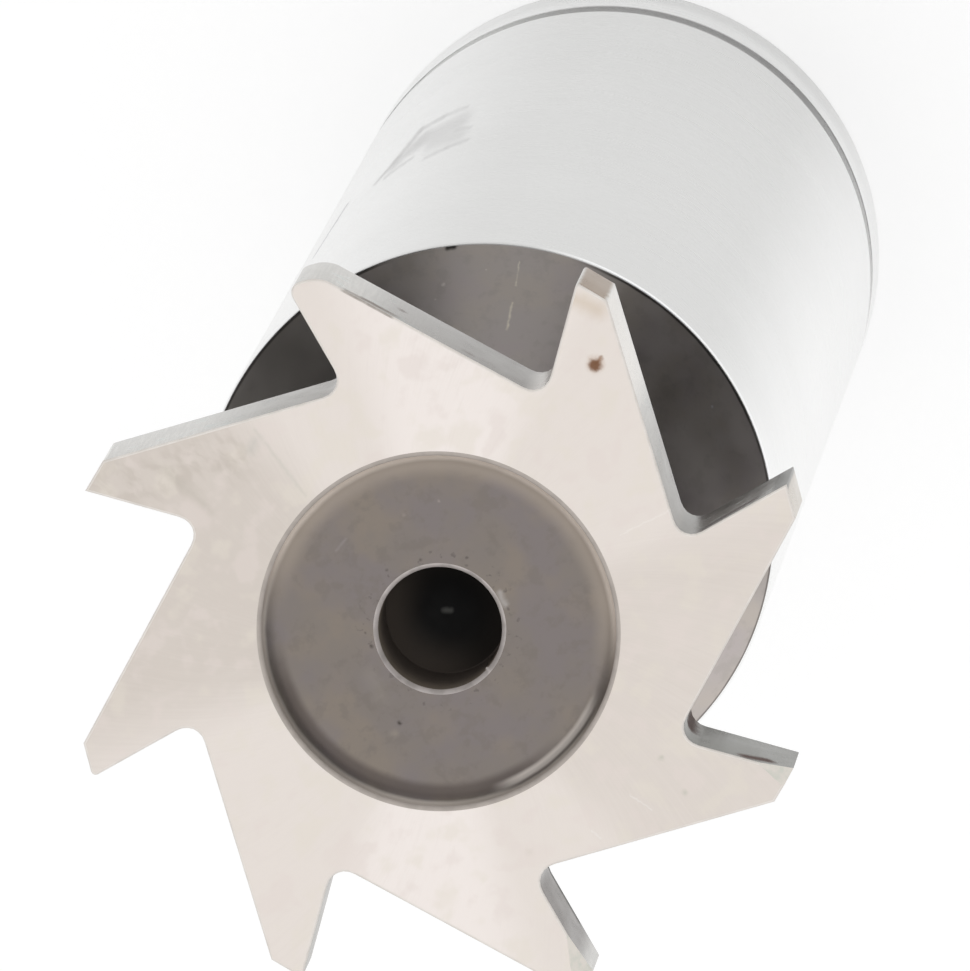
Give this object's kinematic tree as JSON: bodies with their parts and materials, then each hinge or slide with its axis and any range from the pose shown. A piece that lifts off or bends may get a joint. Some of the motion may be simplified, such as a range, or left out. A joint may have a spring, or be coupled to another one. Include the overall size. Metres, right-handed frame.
{
  "type": "woodruff keyseat cutter",
  "caption": "Shank-type woodruff keyseat cutter: a thin ground disc with straight gashed teeth, on a relieved neck and a straight cylindrical shank.",
  "frame": {"origin": "centre of the flat rear end of the shank, which the cutter stands on", "axes": "+Z along the tool's axis to the cutting end; one tooth tip lies on +X; seen from the cutting end it cuts turning anticlockwise"},
  "size_m": [0.0162, 0.0162, 0.0532],
  "materials": {
    "high_speed_steel": "ground, with the recess, the neck and the shoulder left dark from hardening"
  },
  "bodies": {
    "root": {"keyseat_cutter": "high_speed_steel"}
  },
  "joints": []
}
